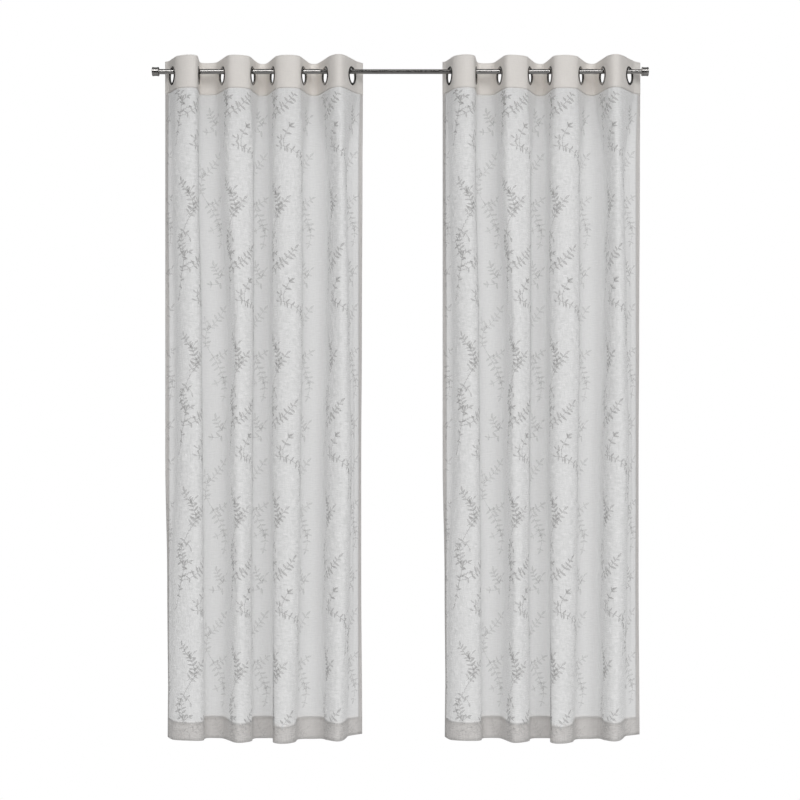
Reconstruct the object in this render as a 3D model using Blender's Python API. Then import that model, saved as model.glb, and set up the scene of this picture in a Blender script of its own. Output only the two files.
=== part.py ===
# Two sheer voile curtain panels hanging from one telescoping rod by eyelet rings.
# Metres, +Z up. The origin is the middle of the rod's axis, +X runs to the right along the rod,
# and the room side of the curtains faces -Y.
import math
from collections import namedtuple

import bmesh
import bpy
import numpy as np
from mathutils import Matrix, Vector

# Cloth sizes
FLAT_WIDTH = 1.270
HEADING_TOP = 0.040
HEADING_BOTTOM = -0.062
HEADING_THICK = 0.0024
VOILE_THICK = 0.0012
SEAM_GAP = 0.0003
LEFT_MARGIN = 0.051
RIGHT_MARGIN = 0.070
FAN_DISTANCE = 4.7
PANEL_LEFT_EDGE = {"left": -0.7365, "right": 0.1326}

# Ring sizes: a metal ring with a groove round it that clasps the heading's cut edge
HOLE_R = 0.0240
HOLE_STEPS = 24
HOLE_DEPTH = 0.020
BARREL_R = 0.0234
RING_INNER_R = 0.0218
RING_OUTER_R = 0.0298
RING_HALF_DEPTH = 0.0034
RING_CROWN = 0.0012
RING_DROP = -0.0131
RING_FLAT = 0.031
RING_STEPS = 16

# Rod sizes, and where one tube ends and the next begins
ROD_HALF = 0.756
SEAMS = (-0.251, 0.172, 0.617)
OUTER_TUBE_R = 0.0080
INNER_TUBE_R = 0.0071
SOCKET_R = 0.0074
SOCKET_DEPTH = 0.040
FIT = 0.0003
CAP_R = 0.0140
CAP_WAIST_R = 0.0133
CAP_LENGTH = 0.0207
CAP_RIM = 0.0045
CAP_CHAMFER = 0.0008
TUBE_STEPS = 24

# How finely the curves are worked out and the cloth is cut up
CURVE_STEPS = 60
HALVINGS = 40
NOSE_STEPS = 7
FLAP_STEPS = 4
ROWS = 10
BODY_FLAT = 0.008
MARGIN_OVERTURN = 12
FLAP_TURN = 7

# One row for each place where the cloth crosses the rod's plane, from left to right. The first six
# columns are its distance from the panel's left edge line, in metres, at the heights in LEVELS.
# The leans are the cloth's angle to the wall there, in degrees, at the rings, half way and at the hem.
Crossing = namedtuple("Crossing", "rings chest waist knee shin hem ring_lean body_lean hem_lean")
LEVELS = (HEADING_BOTTOM, -0.31, -0.84, -1.22, -1.60, -2.09)
CROSSINGS = (
    Crossing(0.0220, 0.0250, 0.0345, 0.0345, 0.0220, 0.0190, 72, 80, 76),
    Crossing(0.1040, 0.1035, 0.1130, 0.1160, 0.1190, 0.1220, 86, 93, 90),
    Crossing(0.1790, 0.1820, 0.2040, 0.2005, 0.2040, 0.1975, 72, 80, 76),
    Crossing(0.2736, 0.2760, 0.2760, 0.2727, 0.2695, 0.2727, 75, 93, 90),
    Crossing(0.3366, 0.3350, 0.3350, 0.3350, 0.3385, 0.3385, 75, 84, 97),
    Crossing(0.4330, 0.4290, 0.4290, 0.4230, 0.4200, 0.4105, 73.5, 92, 86),
    Crossing(0.5015, 0.5170, 0.5140, 0.5045, 0.5015, 0.5015, 71, 82, 82),
    Crossing(0.5850, 0.5680, 0.5770, 0.5830, 0.5770, 0.5700, 67, 88, 80),
)

# One row for each fold between two crossings: how tight its left and right corners are. Odd rows
# come forward and even ones go back.
Fold = namedtuple("Fold", "left_pull right_pull")
FOLDS = (
    Fold(0.8, 1.0),
    Fold(7.0, 9.0),
    Fold(2.6, 1.0),
    Fold(7.0, 9.0),
    Fold(1.1, 1.0),
    Fold(7.0, 9.0),
    Fold(0.8, 1.3),
)

# The panel's own side edges at the same heights, from its left edge line
LEFT_EDGE = (0.0, 0.0, 0.0, 0.0, 0.006, 0.0094)
RIGHT_EDGE = (0.619, 0.618, 0.616, 0.614, 0.614, 0.617)

# How low the hem hangs at the left edge, at each fold and at the right edge. Odd folds come
# forward and even ones go back.
HEM_LOW = (-2.095, -2.0855, -2.102, -2.0887, -2.102, -2.092, -2.103, -2.0835, -2.086)

FOLD_FLAT = (FLAT_WIDTH - LEFT_MARGIN - RIGHT_MARGIN) / (len(CROSSINGS) - 1)


def clear_scene():
    for thing in list(bpy.data.objects):
        bpy.data.objects.remove(thing, do_unlink=True)


def material(name, colour, roughness, metallic=0.0, alpha=1.0):
    made = bpy.data.materials.new(name)
    made.use_nodes = True
    shader = made.node_tree.nodes["Principled BSDF"]
    shader.inputs["Base Color"].default_value = (*colour, 1.0)
    shader.inputs["Roughness"].default_value = roughness
    shader.inputs["Metallic"].default_value = metallic
    shader.inputs["Alpha"].default_value = alpha
    return made


def add_object(name, mesh, surface):
    made = bpy.data.objects.new(name, mesh)
    mesh.materials.append(surface)
    bpy.context.scene.collection.objects.link(made)
    return made


# A value at height z from a row of values at LEVELS, eased between them. Above the first level it
# stays as it is at the rings.
def at_height(values, z):
    for i in range(len(LEVELS) - 1):
        high, low = LEVELS[i], LEVELS[i + 1]
        if z >= low:
            share = min(max((high - z) / (high - low), 0.0), 1.0)
            eased = share * share * (3 - 2 * share)
            return values[i] + (values[i + 1] - values[i]) * eased
    return values[-1]


# The cloth's lean at a crossing: the rings hold it to the chest's height, and it changes once more
# on its way to the hem.
def lean_at(crossing, z):
    middle = LEVELS[len(LEVELS) // 2]
    if z > middle:
        share = min((HEADING_BOTTOM - min(z, HEADING_BOTTOM)) / (HEADING_BOTTOM - LEVELS[1]), 1.0)
        return crossing.ring_lean + (crossing.body_lean - crossing.ring_lean) * share
    share = min((middle - z) / (middle - LEVELS[-1]), 1.0)
    return crossing.body_lean + (crossing.hem_lean - crossing.body_lean) * share


# The straight run of cloth each side of a crossing: long enough at the rings to hold them flat.
def flat_at(z):
    share = min(max((HEADING_BOTTOM - z) / (HEADING_BOTTOM - LEVELS[1]), 0.0), 1.0)
    return RING_FLAT + (BODY_FLAT - RING_FLAT) * share


# Which way the cloth runs at a crossing. The folds fan out, as planes that meet on an upright line
# FAN_DISTANCE in front of the rod's middle.
def direction(index, crossing, x, z):
    lean = math.radians(lean_at(crossing, z))
    forward = -math.sin(lean) if index % 2 == 0 else math.sin(lean)
    along = np.array([math.cos(lean) + x / FAN_DISTANCE * forward, forward])
    return along / np.linalg.norm(along)


def path_length(points):
    return float(np.linalg.norm(np.diff(points, axis=0), axis=1).sum())


# A fold between two straight runs: a cubic curve whose handles are as long as it takes to use up
# the fold's share of the flat cloth. A corner that pulls harder is tighter, and leaves the fold
# flatter between its corners.
def fold_curve(start, start_way, end, end_way, flat, fold):
    t = np.linspace(0.0, 1.0, CURVE_STEPS + 1)[:, None]
    left_weight = 3 * fold.left_pull * (1 - t) ** 2 * t
    right_weight = 3 * fold.right_pull * (1 - t) * t**2
    weights = ((1 - t) ** 3, left_weight, right_weight, t**3)
    shortest, longest = 0.0, flat
    for _ in range(HALVINGS):
        reach = (shortest + longest) / 2
        corners = (start, start + start_way * reach, end - end_way * reach, end)
        curve = sum(weight * corner for weight, corner in zip(weights, corners)) / sum(weights)
        if path_length(curve) < flat:
            shortest = reach
        else:
            longest = reach
    return curve


# The loose margin past an end crossing: it turns, quickly at first, until its edge lies on the
# panel's outline as seen from the fan line, or until it has turned a little past the wall's way.
def margin_curve(start, way, flat, outline_x, turn_sign):
    first = math.atan2(way[1], way[0])
    s = np.linspace(0.0, 1.0, CURVE_STEPS + 1)
    least, most = 0.0, abs(math.asin(way[1])) + math.radians(MARGIN_OVERTURN)
    for _ in range(HALVINGS):
        turn = (least + most) / 2
        heading = first + turn_sign * turn * (1 - (1 - s) ** FLAP_TURN)
        middle = (heading[1:] + heading[:-1]) / 2
        steps = np.column_stack([np.cos(middle), np.sin(middle)]) * flat / CURVE_STEPS
        curve = np.vstack([start, start + np.cumsum(steps, axis=0)])
        seen_x = curve[-1][0] / (1 + curve[-1][1] / FAN_DISTANCE)
        if abs(seen_x - start[0]) < abs(outline_x - start[0]):
            least = turn
        else:
            most = turn
    return curve


# Places along the flat cloth, from its left edge, where the columns of points go: close together
# round each fold, with none inside the flat run at a ring.
def stations():
    places = list(np.linspace(0.0, LEFT_MARGIN - RING_FLAT, FLAP_STEPS + 1))
    for index in range(len(CROSSINGS) - 1):
        start = LEFT_MARGIN + FOLD_FLAT * index + RING_FLAT
        places += list(np.linspace(start, start + FOLD_FLAT - 2 * RING_FLAT, NOSE_STEPS + 1))
    places += list(np.linspace(FLAT_WIDTH - RIGHT_MARGIN + RING_FLAT, FLAT_WIDTH, FLAP_STEPS + 1))
    return np.array(places)


# The cloth's line in plan at height z, at the same places along the flat cloth at every height.
def section(side, z):
    left = PANEL_LEFT_EDGE[side]
    flat = flat_at(z)
    crossings = []
    for index, crossing in enumerate(CROSSINGS):
        x = left + at_height(crossing[: len(LEVELS)], z)
        crossings.append((np.array([x, 0.0]), direction(index, crossing, x, z)))
    first, first_way = crossings[0]
    last, last_way = crossings[-1]
    left_x = left + at_height(LEFT_EDGE, z)
    right_x = left + at_height(RIGHT_EDGE, z)
    left_flap = margin_curve(first - first_way * flat, -first_way, LEFT_MARGIN - flat, left_x, 1)
    right_flap = margin_curve(last + last_way * flat, last_way, RIGHT_MARGIN - flat, right_x, -1)
    runs = [left_flap[::-1]]
    for (start, start_way), (end, end_way), fold in zip(crossings, crossings[1:], FOLDS):
        begin, finish = start + start_way * flat, end - end_way * flat
        runs.append(fold_curve(begin, start_way, finish, end_way, FOLD_FLAT - 2 * flat, fold))
    runs.append(right_flap)
    curve = np.vstack(runs)
    along = np.concatenate([[0.0], np.cumsum(np.linalg.norm(np.diff(curve, axis=0), axis=1))])
    places = stations() * along[-1] / FLAT_WIDTH
    return np.column_stack([np.interp(places, along, curve[:, k]) for k in (0, 1)])


# How low the hem hangs at each place along the flat cloth, eased from fold to fold.
def hem_heights():
    middles = [LEFT_MARGIN + FOLD_FLAT * (k + 0.5) for k in range(len(CROSSINGS) - 1)]
    middles = [0.0] + middles + [FLAT_WIDTH]
    heights = []
    for place in stations():
        k = min(max(np.searchsorted(middles, place) - 1, 0), len(middles) - 2)
        share = (place - middles[k]) / (middles[k + 1] - middles[k])
        eased = share * share * (3 - 2 * share)
        heights.append(HEM_LOW[k] + (HEM_LOW[k + 1] - HEM_LOW[k]) * eased)
    return np.array(heights)


# A sheet of cloth from rows of points, top row first.
def cloth_mesh(name, rows):
    mesh = bpy.data.meshes.new(name)
    columns = len(rows[0])
    points = [tuple(point) for row in rows for point in row]
    faces = []
    for r in range(len(rows) - 1):
        for c in range(columns - 1):
            a = r * columns + c
            faces.append((a, a + columns, a + columns + 1, a + 1))
    mesh.from_pydata(points, [], faces)
    mesh.shade_smooth()
    return mesh


def thicken(cloth, thickness):
    solid = cloth.modifiers.new("thickness", "SOLIDIFY")
    solid.thickness = thickness
    solid.offset = 0.0
    solid.use_even_offset = True
    solid.use_rim = True


def panel(side, surface):
    rows = []
    hem = hem_heights()
    top = HEADING_BOTTOM - SEAM_GAP
    for r in range(ROWS + 1):
        share = r / ROWS
        plan = section(side, top + (np.mean(HEM_LOW) - top) * share)
        heights = top + (hem - top) * share
        rows.append(np.column_stack([plan, heights]))
    made = add_object(f"panel_{side}", cloth_mesh(f"panel_{side}", rows), surface)
    thicken(made, VOILE_THICK)
    return made


# Where a ring sits: the middle of its straight run of heading, and the way it faces.
def ring_place(side, index):
    crossing = CROSSINGS[index]
    x = PANEL_LEFT_EDGE[side] + crossing.rings
    way = direction(index, crossing, x, HEADING_BOTTOM)
    facing = Vector((way[1], -way[0], 0.0))
    turn = facing.to_track_quat("Z", "Y").to_matrix().to_4x4()
    return Matrix.Translation((x, 0.0, RING_DROP)) @ turn


def heading(side, surface):
    plan = section(side, HEADING_BOTTOM)
    rows = [np.column_stack([plan, np.full(len(plan), z)]) for z in (HEADING_TOP, HEADING_BOTTOM)]
    made = add_object(f"heading_{side}", cloth_mesh(f"heading_{side}", rows), surface)
    thicken(made, HEADING_THICK)
    for index in range(len(CROSSINGS)):
        place = ring_place(side, index)
        bpy.ops.mesh.primitive_cylinder_add(vertices=HOLE_STEPS, radius=HOLE_R, depth=HOLE_DEPTH)
        cutter = bpy.context.object
        cutter.name = f"hole_{side}_{index + 1}"
        cutter.matrix_world = place
        cutter.hide_render = True
        cutter.display_type = "WIRE"
        hole = made.modifiers.new(cutter.name, "BOOLEAN")
        hole.operation = "DIFFERENCE"
        hole.solver = "EXACT"
        hole.object = cutter
    return made


# A turned piece from its closed profile of (distance along its axis, radius) pairs.
def turned_mesh(name, profile, steps):
    mesh = bpy.data.meshes.new(name)
    shape = bmesh.new()
    outline = [shape.verts.new((radius, 0.0, along)) for along, radius in profile]
    edges = [shape.edges.new((a, b)) for a, b in zip(outline, outline[1:] + outline[:1])]
    bmesh.ops.spin(
        shape,
        geom=outline + edges,
        cent=(0, 0, 0),
        axis=(0, 0, 1),
        angle=2 * math.pi,
        steps=steps,
        use_merge=True,
    )
    bmesh.ops.remove_doubles(shape, verts=shape.verts, dist=1e-6)
    bmesh.ops.recalc_face_normals(shape, faces=shape.faces)
    shape.to_mesh(mesh)
    shape.free()
    mesh.shade_smooth()
    mesh.set_sharp_from_angle(angle=math.radians(40))
    return mesh


# Half of a ring's profile, from the middle of its bore round the flange to the groove's floor.
def ring_mesh():
    groove = HEADING_THICK / 2 + FIT
    half = [
        (RING_HALF_DEPTH - RING_CROWN, RING_INNER_R),
        (RING_HALF_DEPTH, RING_INNER_R + 2 * RING_CROWN),
        (groove, RING_OUTER_R),
        (groove, BARREL_R),
    ]
    profile = half + [(-along, radius) for along, radius in reversed(half)]
    return turned_mesh("ring", profile, RING_STEPS)


def rings(side, mesh, surface):
    for index in range(len(CROSSINGS)):
        made = add_object(f"ring_{side}_{index + 1}", mesh.copy(), surface)
        made.matrix_world = ring_place(side, index)


# A length of rod from start to end along X, with a blind socket at either end if it takes the
# next length.
def tube(name, start, end, radius, socket_start, socket_end, surface):
    profile = [(start, radius), (end, radius)]
    if socket_end:
        profile += [(end, SOCKET_R), (end - SOCKET_DEPTH, SOCKET_R)]
    profile += [(profile[-1][0], 0.0)]
    if socket_start:
        profile += [(start + SOCKET_DEPTH, 0.0), (start + SOCKET_DEPTH, SOCKET_R), (start, SOCKET_R)]
    else:
        profile += [(start, 0.0)]
    made = add_object(name, turned_mesh(name, profile, TUBE_STEPS), surface)
    made.rotation_euler = (0.0, math.pi / 2, 0.0)
    return made


def rod(surface):
    first, second, third = SEAMS
    deep = SOCKET_DEPTH - FIT
    tube("rod_outer_left", -ROD_HALF, first, OUTER_TUBE_R, False, True, surface)
    tube("rod_inner_middle", first - deep, second + deep, INNER_TUBE_R, False, False, surface)
    tube("rod_outer_right", second, third, OUTER_TUBE_R, True, True, surface)
    tube("rod_inner_right", third - deep, ROD_HALF, INNER_TUBE_R, False, False, surface)


# A short round end cap with a slightly raised rim at each end.
def caps(surface):
    profile = [
        (0.0, 0.0),
        (0.0, CAP_R - CAP_CHAMFER),
        (CAP_CHAMFER, CAP_R),
        (CAP_RIM, CAP_R),
        (CAP_RIM + CAP_CHAMFER, CAP_WAIST_R),
        (CAP_LENGTH - CAP_RIM - CAP_CHAMFER, CAP_WAIST_R),
        (CAP_LENGTH - CAP_RIM, CAP_R),
        (CAP_LENGTH - CAP_CHAMFER, CAP_R),
        (CAP_LENGTH, CAP_R - CAP_CHAMFER),
        (CAP_LENGTH, 0.0),
    ]
    for side, way in (("left", -1), ("right", 1)):
        made = add_object(f"cap_{side}", turned_mesh(f"cap_{side}", profile, TUBE_STEPS), surface)
        made.location = (way * (ROD_HALF + FIT), 0.0, 0.0)
        made.rotation_euler = (0.0, way * math.pi / 2, 0.0)


def build():
    clear_scene()
    voile = material("voile", (0.62, 0.61, 0.60), 0.85, alpha=0.7)
    band = material("heading_cloth", (0.70, 0.69, 0.67), 0.85)
    nickel = material("nickel", (0.45, 0.44, 0.43), 0.28, metallic=1.0)
    ring_shape = ring_mesh()
    for side in PANEL_LEFT_EDGE:
        panel(side, voile)
        heading(side, band)
        rings(side, ring_shape, nickel)
    rod(nickel)
    caps(nickel)


build()
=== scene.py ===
# Two sheer voile curtain panels on a telescoping rod: the looks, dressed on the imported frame.
# Metres, +Z up. The origin is the middle of the rod's axis, and the room side faces -Y.
import math
from collections import namedtuple

import bpy
import numpy as np
from mathutils import Matrix, Vector


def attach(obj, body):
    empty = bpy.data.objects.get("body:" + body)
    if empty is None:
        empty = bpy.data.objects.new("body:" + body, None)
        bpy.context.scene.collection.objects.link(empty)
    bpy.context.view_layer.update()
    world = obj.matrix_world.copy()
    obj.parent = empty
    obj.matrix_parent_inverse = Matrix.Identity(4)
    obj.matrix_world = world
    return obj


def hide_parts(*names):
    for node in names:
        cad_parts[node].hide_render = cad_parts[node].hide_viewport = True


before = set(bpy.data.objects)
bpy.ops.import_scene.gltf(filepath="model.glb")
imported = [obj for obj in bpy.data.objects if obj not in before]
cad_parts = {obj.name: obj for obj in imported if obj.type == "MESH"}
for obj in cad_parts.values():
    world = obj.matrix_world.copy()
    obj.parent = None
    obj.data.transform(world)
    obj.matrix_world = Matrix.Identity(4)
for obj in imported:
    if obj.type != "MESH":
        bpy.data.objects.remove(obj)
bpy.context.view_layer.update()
print("frame loaded")


# Shader maths: a Wire is one socket, and sums on wires add their Math nodes
class Wire:
    def __init__(self, finish, socket):
        self.finish = finish
        self.socket = socket

    def __add__(self, other):
        return self.finish.maths("ADD", self, other)

    __radd__ = __add__

    def __sub__(self, other):
        return self.finish.maths("SUBTRACT", self, other)

    def __rsub__(self, other):
        return self.finish.maths("SUBTRACT", other, self)

    def __mul__(self, other):
        return self.finish.maths("MULTIPLY", self, other)

    __rmul__ = __mul__


class Finish:
    def __init__(self, name):
        self.material = bpy.data.materials.new(name)
        self.material.use_nodes = True
        self.tree = self.material.node_tree
        self.shader = self.tree.nodes["Principled BSDF"]

    # Any node: its settings are set first, then the values or links of its sockets
    def node(self, kind, settings, values, output=0):
        made = self.tree.nodes.new("ShaderNode" + kind)
        for key, value in settings.items():
            setattr(made, key, value)
        for key, value in values.items():
            if isinstance(value, Wire):
                self.tree.links.new(value.socket, made.inputs[key])
            else:
                made.inputs[key].default_value = value
        return Wire(self, made.outputs[output])

    def maths(self, operation, first, second):
        return self.node("Math", {"operation": operation}, {0: first, 1: second})

    def limited(self, value, low, high):
        return self.maths("MINIMUM", self.maths("MAXIMUM", value, low), high)

    def stretched(self, vector, scale):
        return self.node("VectorMath", {"operation": "MULTIPLY"}, {0: vector, 1: scale})

    def noise(self, vector, detail=2.0, roughness=0.55):
        values = {"Vector": vector, "Scale": 1.0, "Detail": detail, "Roughness": roughness}
        return self.node("TexNoise", {}, values)

    def blend(self, share, first, second):
        values = {"Factor": share, 6: first, 7: second}
        return self.node("Mix", {"data_type": "RGBA"}, values, output=2)

    def bump(self, height, distance, strength=1.0):
        return self.node("Bump", {}, {"Height": height, "Distance": distance, "Strength": strength})

    def feed(self, name, value):
        if isinstance(value, Wire):
            self.tree.links.new(value.socket, self.shader.inputs[name])
        else:
            self.shader.inputs[name].default_value = value

    def feedAll(self, values):
        for name, value in values.items():
            self.feed(name, value)


# How the cloth is cut and hung. These repeat the frame's own sizes.
cloth = {
    "width": 1.270,  # one panel laid flat, between its side edges
    "headingTop": 0.040,
    "headingBottom": -0.062,
    "seamGap": 0.0003,
    "leftMargin": 0.051,  # from each side edge to the nearest ring
    "rightMargin": 0.070,
    "leftEdge": {"left": -0.7365, "right": 0.1326},
    "fanDistance": 4.7,
    "ringFlat": 0.031,  # straight run of cloth each side of a ring
    "bodyFlat": 0.008,
    "overturn": 12,
    "flapTurn": 7,  # how soon a loose margin has turned: higher is sooner
    "sideHem": 0.015,
    "sideTurnIn": 0.010,
    "bottomHem": 0.062,
    "bottomTurnIn": 0.010,
    "sideHemDrop": 0.0006,  # how far a folded hem lies behind the cloth
    "bottomHemDrop": 0.0016,
    "columnSize": 0.004,
    "rowSize": 0.013,
    "hemStep": 0.005,
    "hemRows": 5,
    "creaseFade": 0.6,  # how soon a crease reaches its depth: lower is sooner
    "forwardShare": 0.8,
    "turnInDrop": 0.6,  # how far behind a turned-in edge lies, of its hem's drop
    "mapSize": 2.2,  # the flat cloth in metres, over this, is its UV map
    "curveSteps": 60,
    "halvings": 40,
}

# One row for each place where the cloth crosses the rod's plane: its distance from the panel's left
# edge line at the heights in levels, then the cloth's angle to the wall there
levels = (cloth["headingBottom"], -0.31, -0.84, -1.22, -1.60, -2.09)
Crossing = namedtuple("Crossing", "rings chest waist knee shin hem ringLean bodyLean hemLean")
crossings = (
    Crossing(0.0220, 0.0250, 0.0345, 0.0345, 0.0220, 0.0190, 72, 80, 76),
    Crossing(0.1040, 0.1035, 0.1130, 0.1160, 0.1190, 0.1220, 86, 93, 90),
    Crossing(0.1790, 0.1820, 0.2040, 0.2005, 0.2040, 0.1975, 72, 80, 76),
    Crossing(0.2736, 0.2760, 0.2760, 0.2727, 0.2695, 0.2727, 75, 93, 90),
    Crossing(0.3366, 0.3350, 0.3350, 0.3350, 0.3385, 0.3385, 75, 84, 97),
    Crossing(0.4330, 0.4290, 0.4290, 0.4230, 0.4200, 0.4105, 73.5, 92, 86),
    Crossing(0.5015, 0.5170, 0.5140, 0.5045, 0.5015, 0.5015, 71, 82, 82),
    Crossing(0.5850, 0.5680, 0.5770, 0.5830, 0.5770, 0.5700, 67, 88, 80),
)

# One row for each fold between two crossings: how tight its left and right corners are. Odd rows
# come forward and even ones go back.
Fold = namedtuple("Fold", "leftPull rightPull")
folds = (
    Fold(0.8, 1.0),
    Fold(7.0, 9.0),
    Fold(2.6, 1.0),
    Fold(7.0, 9.0),
    Fold(1.1, 1.0),
    Fold(7.0, 9.0),
    Fold(0.8, 1.3),
)

# The panel's own side edges at the same heights, from its left edge line
leftEdgeAt = (0.0, 0.0, 0.0, 0.0, 0.006, 0.0094)
rightEdgeAt = (0.619, 0.618, 0.616, 0.614, 0.614, 0.617)

# The hem at the left edge, at each fold and at the right edge: its lower edge and its sewn top line
hemLow = (-2.095, -2.0855, -2.102, -2.0887, -2.102, -2.092, -2.103, -2.0835, -2.086)
hemSewn = (-2.032, -2.029, -2.031, -2.029, -2.031, -2.040, -2.031, -2.028, -2.030)

# Soft creases besides the folds: where on the flat cloth, from and to what height, how far forward
# they stand (or back, where negative) and how wide they are
Crease = namedtuple("Crease", "place top bottom depth width")
creases = (
    Crease(0.148, -0.10, -0.75, 0.0016, 0.010),
    Crease(0.105, -0.55, -1.55, 0.0018, 0.013),
    Crease(0.425, -0.40, -1.30, -0.0020, 0.012),
    Crease(0.500, -0.16, -0.90, 0.0014, 0.009),
    Crease(0.470, -1.20, -2.00, 0.0018, 0.014),
    Crease(0.745, -0.30, -1.20, -0.0018, 0.012),
    Crease(0.812, -0.25, -1.05, 0.0018, 0.011),
    Crease(0.770, -1.25, -2.02, -0.0018, 0.014),
    Crease(1.060, -0.20, -1.50, -0.0020, 0.010),
    Crease(1.140, -0.12, -1.10, 0.0016, 0.009),
    Crease(0.300, -0.90, -1.90, 0.0022, 0.020),
    Crease(0.620, -0.35, -1.40, -0.0018, 0.014),
    Crease(0.950, -0.60, -1.70, 0.0022, 0.018),
    Crease(0.030, -0.12, -2.00, -0.0018, 0.005),
    Crease(1.236, -0.09, -2.02, -0.0024, 0.004),
    Crease(1.222, -0.45, -1.80, 0.0016, 0.005),
)

foldFlat = (cloth["width"] - cloth["leftMargin"] - cloth["rightMargin"]) / (len(crossings) - 1)
voileTop = cloth["headingBottom"] - cloth["seamGap"]
voileDrop = voileTop - float(np.mean(hemLow))


def eased(share):
    return share * share * (3 - 2 * share)


# A value at height z from a row of values at the levels, eased between them
def atHeight(values, z):
    for high, low, first, second in zip(levels, levels[1:], values, values[1:]):
        if z >= low:
            share = min(max((high - z) / (high - low), 0.0), 1.0)
            return first + (second - first) * eased(share)
    return values[-1]


# The cloth's lean at a crossing: the rings hold it to the chest's height, and it changes once more
# on its way to the hem
def leanAt(crossing, z):
    middle = levels[len(levels) // 2]
    if z > middle:
        share = min((levels[0] - min(z, levels[0])) / (levels[0] - levels[1]), 1.0)
        return crossing.ringLean + (crossing.bodyLean - crossing.ringLean) * share
    share = min((middle - z) / (middle - levels[-1]), 1.0)
    return crossing.bodyLean + (crossing.hemLean - crossing.bodyLean) * share


def straightRunAt(z):
    share = min(max((levels[0] - z) / (levels[0] - levels[1]), 0.0), 1.0)
    return cloth["ringFlat"] + (cloth["bodyFlat"] - cloth["ringFlat"]) * share


# Which way the cloth runs at a crossing: even ones run to the room, odd ones to the wall, and the
# folds fan out as seen from the middle of the room
def wayAt(index, crossing, x, z):
    lean = math.radians(leanAt(crossing, z))
    forward = -math.sin(lean) if index % 2 == 0 else math.sin(lean)
    along = np.array([math.cos(lean) + x / cloth["fanDistance"] * forward, forward])
    return along / np.linalg.norm(along)


def pathLength(points):
    return float(np.linalg.norm(np.diff(points, axis=0), axis=1).sum())


# One fold: a cubic curve whose handles are as long as it takes to use up its share of the cloth. A
# corner that pulls harder is tighter, and leaves the fold flatter between its corners.
def foldCurve(start, startWay, end, endWay, flat, fold):
    t = np.linspace(0.0, 1.0, cloth["curveSteps"] + 1)[:, None]
    leftWeight = 3 * fold.leftPull * (1 - t) ** 2 * t
    rightWeight = 3 * fold.rightPull * (1 - t) * t**2
    weights = ((1 - t) ** 3, leftWeight, rightWeight, t**3)
    shortest, longest = 0.0, flat
    for _ in range(cloth["halvings"]):
        reach = (shortest + longest) / 2
        corners = (start, start + startWay * reach, end - endWay * reach, end)
        curve = sum(weight * corner for weight, corner in zip(weights, corners)) / sum(weights)
        if pathLength(curve) < flat:
            shortest = reach
        else:
            longest = reach
    return curve


# The loose margin past an end ring: it turns until its edge lies on the panel's outline
def marginCurve(start, way, flat, outlineX, turnSign):
    first = math.atan2(way[1], way[0])
    s = np.linspace(0.0, 1.0, cloth["curveSteps"] + 1)
    least, most = 0.0, abs(math.asin(way[1])) + math.radians(cloth["overturn"])
    for _ in range(cloth["halvings"]):
        turn = (least + most) / 2
        heading = first + turnSign * turn * (1 - (1 - s) ** cloth["flapTurn"])
        middle = (heading[1:] + heading[:-1]) / 2
        steps = np.column_stack([np.cos(middle), np.sin(middle)]) * flat / cloth["curveSteps"]
        curve = np.vstack([start, start + np.cumsum(steps, axis=0)])
        seenX = curve[-1][0] / (1 + curve[-1][1] / cloth["fanDistance"])
        if abs(seenX - start[0]) < abs(outlineX - start[0]):
            least = turn
        else:
            most = turn
    return curve


# The cloth's line in plan at height z, at these places along the flat cloth
def planAt(side, z, places):
    left = cloth["leftEdge"][side]
    flat = straightRunAt(z)
    met = []
    for index, crossing in enumerate(crossings):
        x = left + atHeight(crossing[: len(levels)], z)
        met.append((np.array([x, 0.0]), wayAt(index, crossing, x, z)))
    first, firstWay = met[0]
    last, lastWay = met[-1]
    leftX = left + atHeight(leftEdgeAt, z)
    rightX = left + atHeight(rightEdgeAt, z)
    leftFlap = marginCurve(first - firstWay * flat, -firstWay, cloth["leftMargin"] - flat, leftX, 1)
    rightFlap = marginCurve(last + lastWay * flat, lastWay, cloth["rightMargin"] - flat, rightX, -1)
    runs = [leftFlap[::-1]]
    for (start, startWay), (end, endWay), fold in zip(met, met[1:], folds):
        begin, finish = start + startWay * flat, end - endWay * flat
        runs.append(foldCurve(begin, startWay, finish, endWay, foldFlat - 2 * flat, fold))
    runs.append(rightFlap)
    curve = np.vstack(runs)
    along = np.concatenate([[0.0], np.cumsum(np.linalg.norm(np.diff(curve, axis=0), axis=1))])
    wanted = places * along[-1] / cloth["width"]
    return np.column_stack([np.interp(wanted, along, curve[:, k]) for k in (0, 1)])


# A height that goes from fold to fold along the flat cloth, eased between them
def acrossFolds(values, places):
    middles = [cloth["leftMargin"] + foldFlat * (k + 0.5) for k in range(len(crossings) - 1)]
    middles = np.array([0.0] + middles + [cloth["width"]])
    k = np.clip(np.searchsorted(middles, places) - 1, 0, len(middles) - 2)
    share = (places - middles[k]) / (middles[k + 1] - middles[k])
    values = np.array(values)
    return values[k] + (values[k + 1] - values[k]) * eased(share)


def planNormals(plan):
    run = np.gradient(plan, axis=0)
    run /= np.linalg.norm(run, axis=1)[:, None]
    return np.column_stack([run[:, 1], -run[:, 0], np.zeros(len(run))])


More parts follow.
